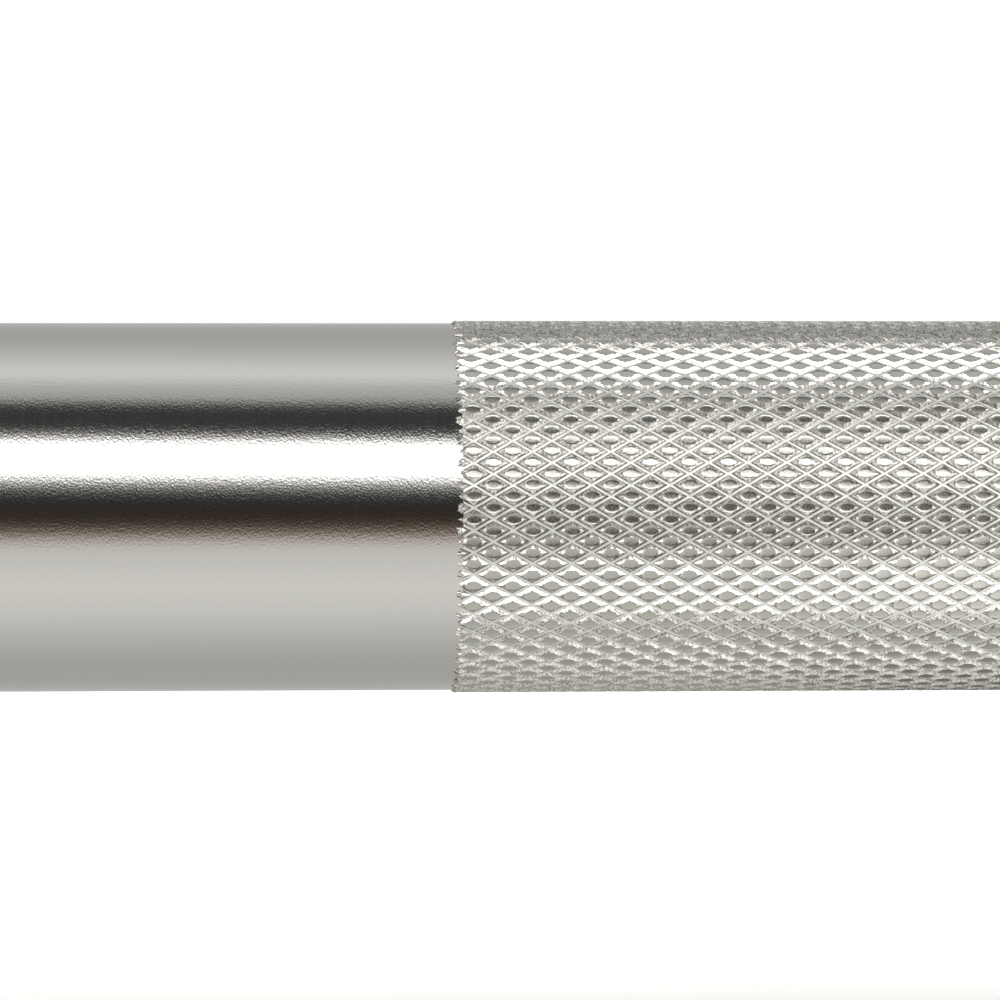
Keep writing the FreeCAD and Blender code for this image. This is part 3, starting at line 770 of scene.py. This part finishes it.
class BARBELL_OT_collars(bpy.types.Operator):
    """Turn the inner collars: a flange on a rounded hub, bored for the shaft, its seal and the sleeve"""

    bl_idname = "barbell.collars"
    bl_label = "Inner collars"

    def execute(self, context):
        ends = context.scene.barbell_ends
        chrome = satin_chrome(context.scene.barbell_finishes.chrome)
        flange_x = PLATE_FACE - ends.flange_width
        groove = (SEAL[0] - ends.seat, SEAL[1] + ends.seat, SEAL_RADIUS + ends.seat)
        ring = [
            (GRIP_FACE, ends.lip_radius),
            (groove[0], ends.lip_radius),
            (groove[0], groove[2]),
            (groove[1], groove[2]),
            (groove[1], ends.lip_radius),
            (TUBE_START, ends.lip_radius),
            (TUBE_START, ends.spigot_radius),
            (PLATE_FACE - ends.bore_chamfer, ends.spigot_radius),
            (PLATE_FACE, ends.spigot_radius + ends.bore_chamfer),
            (PLATE_FACE, FLANGE_RADIUS),
            (flange_x, FLANGE_RADIUS),
            (flange_x, ends.hub_radius),
            (GRIP_FACE, ends.hub_radius),
        ]
        rounded = [
            (PLATE_FACE, FLANGE_RADIUS, ends.flange_edge),
            (flange_x, FLANGE_RADIUS, ends.flange_edge),
            (flange_x, ends.hub_radius, ends.neck),
            (GRIP_FACE, ends.hub_radius, ends.hub_edge),
            (GRIP_FACE, ends.lip_radius, ends.broken_edge),
        ]
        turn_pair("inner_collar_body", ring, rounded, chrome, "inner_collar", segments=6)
        return {"FINISHED"}


class BARBELL_OT_sleeves(bpy.types.Operator):
    """Turn the sleeves: plain tubes with a bearing pocket at each end and a seat for the end cap"""

    bl_idname = "barbell.sleeves"
    bl_label = "Sleeves"

    def execute(self, context):
        ends = context.scene.barbell_ends
        bushing_seat = BUSHING[0] + ends.bushing_flange
        flange_bore = BUSHING_RADIUS + ends.seat
        thrust_face = THRUST_WASHER - ends.thrust_gap
        thrust_bore = THRUST_RADIUS + ends.thrust_gap
        cap_bore = CAP_RADIUS + ends.seat
        groove = (CAP_RING[0] - ends.seat, CAP_RING[1] + ends.seat, CAP_RING_RADIUS + ends.seat)
        full_diameter = PLATE_FACE + ends.relief
        ring = [
            (TUBE_START, flange_bore),
            (bushing_seat, flange_bore),
            (bushing_seat, CUP_RADIUS),
            (INNER_CUP[1], CUP_RADIUS),
            (INNER_CUP[1], ends.bore_radius),
            (OUTER_CUP[0], ends.bore_radius),
            (OUTER_CUP[0], CUP_RADIUS),
            (thrust_face, CUP_RADIUS),
            (thrust_face, thrust_bore),
            (CAP[0], thrust_bore),
            (CAP[0], cap_bore),
            (groove[0], cap_bore),
            (groove[0], groove[2]),
            (groove[1], groove[2]),
            (groove[1], cap_bore),
            (SLEEVE_END - ends.mouth_chamfer, cap_bore),
            (SLEEVE_END, cap_bore + ends.mouth_chamfer),
            (SLEEVE_END, SLEEVE_RADIUS - ends.end_chamfer),
            (SLEEVE_END - ends.end_chamfer, SLEEVE_RADIUS),
            (full_diameter, SLEEVE_RADIUS),
            (full_diameter, ends.spigot_radius),
            (TUBE_START, ends.spigot_radius),
        ]
        rounded = [
            (SLEEVE_END, SLEEVE_RADIUS - ends.end_chamfer, ends.broken_edge),
            (SLEEVE_END - ends.end_chamfer, SLEEVE_RADIUS, ends.broken_edge),
            (full_diameter, SLEEVE_RADIUS, ends.broken_edge),
        ]
        chrome = bpy.data.materials["satin_chrome_plate"]
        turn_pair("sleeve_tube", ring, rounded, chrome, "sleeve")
        return {"FINISHED"}


class BARBELL_OT_end_caps(bpy.types.Operator):
    """Turn the end caps: a dished face inside a land, a groove for the seal and a hollow back"""

    bl_idname = "barbell.end_caps"
    bl_label = "End caps"

    def execute(self, context):
        ends = context.scene.barbell_ends
        steel = turned_steel(context.scene.barbell_finishes.cap_steel)
        middle = (CAP[0] + CAP[1]) / 2
        groove_start, groove_end = middle - ends.cap_groove_width / 2, middle + ends.cap_groove_width / 2
        groove_radius = CAP_RADIUS - ends.cap_groove
        dish_radius = CAP_RADIUS - ends.cap_rim
        stations = [
            (CAP[0] + ends.cap_pocket_depth, ends.cap_pocket),
            (CAP[0], ends.cap_pocket),
            (CAP[0], CAP_RADIUS - ends.cap_edge),
            (CAP[0] + ends.cap_edge, CAP_RADIUS),
            (groove_start, CAP_RADIUS),
            (groove_start, groove_radius),
            (groove_end, groove_radius),
            (groove_end, CAP_RADIUS),
            (CAP[1] - ends.cap_edge, CAP_RADIUS),
            (CAP[1], CAP_RADIUS - ends.cap_edge),
            (CAP[1], dish_radius),
            (CAP[1] - ends.cap_dish, dish_radius - ends.cap_dish),
        ]
        rounded = [
            (CAP[1], dish_radius, ends.broken_edge),
            (CAP[1] - ends.cap_dish, dish_radius - ends.cap_dish, ends.cap_dish / 2),
        ]
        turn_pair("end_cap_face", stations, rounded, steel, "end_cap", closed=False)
        return {"FINISHED"}


class BARBELL_OT_inner_finishes(bpy.types.Operator):
    """Give the bearings, bushings, washers, rings and seals their finishes"""

    bl_idname = "barbell.inner_finishes"
    bl_label = "Bearings, rings and seals"

    def execute(self, context):
        finishes = context.scene.barbell_finishes
        materials = {
            "bronze": bearing_bronze(finishes.bronze),
            "bearing_steel": bearing_steel(finishes.bearing_steel),
            "cage_steel": cage_steel(finishes.cage_steel),
            "spring_steel": black_oxide(finishes.black_oxide),
            "black_rubber": nitrile_rubber(finishes.rubber),
        }
        for subpart in frame["record"]["subparts"]:
            if subpart["material_slot"] in materials:
                for slot in frame["nodes"][subpart["node"]].material_slots:
                    slot.material = materials[subpart["material_slot"]]
        return {"FINISHED"}


class BARBELL_OT_stage(bpy.types.Operator):
    """Set up the pale floor, the diffusing tent with its dark gaps, the lamp, the room and the camera"""

    bl_idname = "barbell.stage"
    bl_label = "Studio"

    def execute(self, context):
        studio = context.scene.barbell_studio
        self.lay_floor(studio)
        self.hang_tent(studio)
        self.lay_sheet(studio)
        self.light_room(context, studio)
        self.set_camera(context, studio)
        return {"FINISHED"}

    def lay_floor(self, studio):
        """A plain floor under the collars, white to the camera but for the bar's shadow."""
        deselect()
        bpy.ops.mesh.primitive_plane_add(size=studio.floor_size, location=(0, 0, -FLANGE_RADIUS))
        floor = bpy.context.object
        floor.name = "studio_floor"
        material, tree = new_material("matt_white_floor")
        place = add_node(tree, "ShaderNodeTexCoord").outputs["Object"]
        mottle = add_node(tree, "ShaderNodeTexNoise", {
            "Vector": place, "Scale": per_metre(40.0), "Detail": 2.0})
        rough = add_node(tree, "ShaderNodeMapRange", {
            "Value": mottle.outputs["Fac"], "To Min": 0.85, "To Max": 1.0})
        paint = add_node(tree, "ShaderNodeBsdfDiffuse", {
            "Color": studio.floor, "Roughness": rough.outputs[0]})
        lift = add_node(tree, "ShaderNodeMath", {
            0: shown_rays(tree), 1: studio.floor_lift}, operation="MULTIPLY")
        glow = add_node(tree, "ShaderNodeEmission", {"Color": studio.floor, "Strength": lift.outputs[0]})
        both = add_node(tree, "ShaderNodeAddShader", {0: paint.outputs[0], 1: glow.outputs[0]})
        add_node(tree, "ShaderNodeOutputMaterial", {"Surface": both.outputs[0]})
        floor.data.materials.append(material)

    def find_place(self, tree, studio):
        """How far ahead of the bar, above it and along it from the camera the shaded point lies."""
        place = add_node(tree, "ShaderNodeTexCoord").outputs["Object"]
        axes = add_node(tree, "ShaderNodeSeparateXYZ", {0: place}).outputs
        ahead = add_node(tree, "ShaderNodeMath", {0: axes["Y"], 1: -1.0}, operation="MULTIPLY")
        along = add_node(tree, "ShaderNodeMath", {
            0: axes["X"], 1: studio.camera_along}, operation="SUBTRACT")
        return ahead.outputs[0], axes["Z"], along.outputs[0]

    def hang_tent(self, studio):
        """An arch of cloth that only the metal reflects, with a softbox and dark gaps behind it."""
        tent = begin_turned("diffusing_tent", -studio.tent_length / 2, studio.tent_radius, sides=128)
        bpy.ops.mesh.extrude_region_move(TRANSFORM_OT_translate={"value": (studio.tent_length, 0, 0)})
        bpy.ops.mesh.select_all(action="SELECT")
        bpy.ops.mesh.bisect(plane_co=(0, 0, -FLANGE_RADIUS), plane_no=(0, 0, -1), clear_outer=True)
        bpy.ops.object.mode_set(mode="OBJECT")
        # Levels of the cloth round the camera and at its sides, by degrees up from the camera's side
        middle = (
            (0, 0.03), (6.5, 0.04), (10, 0.14), (13.7, 0.41), (17, 1.15), (21, 3.0), (37.5, 3.0),
            (42, 0.55), (45, 0.1), (51, 0.05), (64.5, 0.06), (66.5, 0.15), (69, 0.58), (79, 0.66),
            (84, 0.88), (89, 1.02), (100, 0.88), (113, 0.69), (128, 0.57), (142, 0.54), (180, 0.57))
        sides = (
            (0, 0.5), (8, 0.7), (14, 4.0), (41, 4.0), (48, 0.8), (60, 0.4), (95, 0.4), (125, 0.9),
            (145, 2.1), (180, 2.2))
        peak = 4.0
        material, tree = new_material("back_lit_tent_cloth")
        ahead, above, along = self.find_place(tree, studio)
        climb = add_node(tree, "ShaderNodeMath", {0: above, 1: ahead}, operation="ARCTAN2")
        slanted = add_node(tree, "ShaderNodeMath", {
            0: along, 1: studio.slant, 2: climb.outputs[0]}, operation="MULTIPLY_ADD")
        levels = []
        for stops, turn in ((middle, slanted), (sides, climb)):
            stops = [(math.radians(degrees), level) for degrees, level in stops]
            levels.append(levels_along(tree, turn.outputs[0], stops, 0.0, math.pi, peak))
        away = add_node(tree, "ShaderNodeMath", {0: along}, operation="ABSOLUTE")
        # The opening's edges are soft over three tenths of its half width, to each side
        beside = add_node(tree, "ShaderNodeMapRange", {
            "Value": away.outputs[0], "From Min": studio.opening * 0.7, "From Max": studio.opening * 1.3})
        cloth = add_node(tree, "ShaderNodeMix", {
            "Factor": beside.outputs[0], "A": levels[0], "B": levels[1]}, data_type="RGBA")
        glow = add_node(tree, "ShaderNodeEmission", {"Color": cloth.outputs[2], "Strength": peak})
        add_node(tree, "ShaderNodeOutputMaterial", {"Surface": glow.outputs[0]})
        tent.data.materials.append(material)
        self.only_in_reflections(tent)

    def lay_sheet(self, studio):
        """The floor as the metal meets it: shaded under the bar, dark at the camera, lit at both sides."""
        deselect()
        bpy.ops.mesh.primitive_plane_add(
            size=2 * studio.sheet_reach,
            location=(studio.camera_along, 0, studio.sheet_gap - FLANGE_RADIUS))
        sheet = bpy.context.object
        sheet.name = "reflected_floor"
        bpy.ops.object.transform_apply(location=True, rotation=True, scale=True)
        # Levels before the camera and at its sides, by millimetres in front of the bar's axis
        back, front = -100, 300
        middle = (
            (-94, 0.55), (-20, 0.56), (-1, 0.6), (10, 0.72), (24, 0.92), (38, 1.0), (62, 0.9),
            (84, 0.86), (98, 0.78), (112, 0.6), (141, 0.24), (188, 0.1), (275, 0.045))
        sides = ((-94, 0.1), (-15, 0.12), (12, 0.38), (42, 0.85), (200, 0.25))
        side_light = (2.0, 2.0, 1.97)
        warm_start, warm_end = 70 * MM, 185 * MM
        material, tree = new_material("floor_seen_by_the_metal")
        ahead, _, along = self.find_place(tree, studio)
        levels = []
        for stops in (middle, sides):
            stops = [(distance * MM, level) for distance, level in stops]
            levels.append(levels_along(tree, ahead, stops, back * MM, front * MM))
        warmth = add_node(tree, "ShaderNodeMapRange", {
            "Value": ahead, "From Min": warm_start, "From Max": warm_end}, interpolation_type="SMOOTHSTEP")
        tint = add_node(tree, "ShaderNodeMix", {
            "Factor": warmth.outputs[0], "A": srgb("FFFFFC"), "B": srgb("FFE3C7")}, data_type="RGBA")
        shaded = add_node(tree, "ShaderNodeVectorMath", {
            0: levels[0], 1: tint.outputs[2]}, operation="MULTIPLY")
        lit = add_node(tree, "ShaderNodeVectorMath", {0: levels[1], 1: side_light}, operation="MULTIPLY")
        # The shaded middle fans out from the bar, with edges that are soft between two shares of its width
        fan_start, fan_slope = 30 * MM, 0.25
        edge_start, edge_end = 0.9, 1.4
        away = add_node(tree, "ShaderNodeMath", {0: along}, operation="ABSOLUTE")
        off = add_node(tree, "ShaderNodeMath", {0: ahead}, operation="ABSOLUTE")
        fan = add_node(tree, "ShaderNodeMath", {
            0: off.outputs[0], 1: fan_slope, 2: fan_start}, operation="MULTIPLY_ADD")
        spread = add_node(tree, "ShaderNodeMath", {
            0: away.outputs[0], 1: fan.outputs[0]}, operation="DIVIDE")
        outside = add_node(tree, "ShaderNodeMapRange", {
            "Value": spread.outputs[0], "From Min": edge_start, "From Max": edge_end})
        seen = add_node(tree, "ShaderNodeMix", {
            "Factor": outside.outputs[0], "A": shaded.outputs[0], "B": lit.outputs[0]}, data_type="RGBA")
        glow = add_node(tree, "ShaderNodeEmission", {"Color": seen.outputs[2]})
        add_node(tree, "ShaderNodeOutputMaterial", {"Surface": glow.outputs[0]})
        sheet.data.materials.append(material)
        self.only_in_reflections(sheet)

    def only_in_reflections(self, screen):
        """Let a studio screen show in the metal and nowhere else."""
        screen.visible_camera = False
        screen.visible_diffuse = False
        screen.visible_transmission = False
        screen.visible_volume_scatter = False
        screen.visible_shadow = False

    def light_room(self, context, studio):
        """A broad lamp overhead, and a white room that lights diffuse surfaces less than it shows."""
        deselect()
        bpy.ops.object.light_add(type="AREA", location=(0, studio.lamp_back, studio.lamp_height),
                                 rotation=(studio.lamp_tilt, 0, 0))
        lamp = bpy.context.object
        lamp.name = "overhead_softbox"
        lamp.data.shape = "RECTANGLE"
        lamp.data.size, lamp.data.size_y = studio.lamp_length, studio.lamp_width
        lamp.data.energy = studio.lamp_power
        lamp.visible_glossy = False
        world = bpy.data.worlds.new("white_room")
        world.use_nodes = True
        tree = world.node_tree
        tree.nodes.clear()
        level = add_node(tree, "ShaderNodeMapRange", {
            "Value": shown_rays(tree), "To Min": studio.ambient, "To Max": 1.0})
        sky = add_node(tree, "ShaderNodeBackground", {"Color": srgb("FFFFFF"), "Strength": level.outputs[0]})
        add_node(tree, "ShaderNodeOutputWorld", {"Surface": sky.outputs[0]})
        context.scene.world = world

    def set_camera(self, context, studio):
        """A long lens on the start of the right-hand grip, turned a little from square on."""
        deselect()
        aside = studio.camera_aim - studio.camera_along
        turn = -math.atan2(aside, studio.camera_distance)
        bpy.ops.object.camera_add(
            location=(studio.camera_along, -studio.camera_distance, studio.camera_height),
            rotation=(math.pi / 2, studio.camera_roll, turn))
        camera = bpy.context.object
        camera.data.sensor_width = 36.0
        reach = math.hypot(aside, studio.camera_distance)
        camera.data.lens = camera.data.sensor_width * reach / studio.view_width
        camera.data.clip_start, camera.data.clip_end = 0.01, 200.0
        context.scene.camera = camera
        context.scene.view_settings.view_transform = "Standard"


class BARBELL_PT_panel(bpy.types.Panel):
    """Lists the pieces of the barbell and their sizes"""

    bl_label = "Olympic Barbell"
    bl_space_type = "VIEW_3D"
    bl_region_type = "UI"
    bl_category = "Barbell"

    def draw(self, context):
        for operator in OPERATORS:
            self.layout.operator(operator.bl_idname)
        for name in GROUPS:
            settings = getattr(context.scene, name)
            box = self.layout.box()
            for key in settings.bl_rna.properties.keys()[2:]:
                box.prop(settings, key)


GROUPS = {
    "barbell_shaft": BarbellShaft,
    "barbell_knurl": BarbellKnurl,
    "barbell_ends": BarbellEnds,
    "barbell_finishes": BarbellFinishes,
    "barbell_studio": BarbellStudio,
}
OPERATORS = (BARBELL_OT_shaft, BARBELL_OT_knurl, BARBELL_OT_collars, BARBELL_OT_sleeves, BARBELL_OT_end_caps,
             BARBELL_OT_inner_finishes, BARBELL_OT_stage)


def register():
    for group in GROUPS.values():
        bpy.utils.register_class(group)
    for name, group in GROUPS.items():
        setattr(bpy.types.Scene, name, PointerProperty(type=group))
    for operator in OPERATORS:
        bpy.utils.register_class(operator)
    bpy.utils.register_class(BARBELL_PT_panel)


def unregister():
    bpy.utils.unregister_class(BARBELL_PT_panel)
    for operator in reversed(OPERATORS):
        bpy.utils.unregister_class(operator)
    for name in GROUPS:
        delattr(bpy.types.Scene, name)
    for group in reversed(GROUPS.values()):
        bpy.utils.unregister_class(group)


def main():
    register()
    bpy.ops.barbell.shaft()
    bpy.ops.barbell.knurl()
    bpy.ops.barbell.collars()
    bpy.ops.barbell.sleeves()
    bpy.ops.barbell.end_caps()
    bpy.ops.barbell.inner_finishes()
    bpy.ops.barbell.stage()


if __name__ == "__main__":
    main()
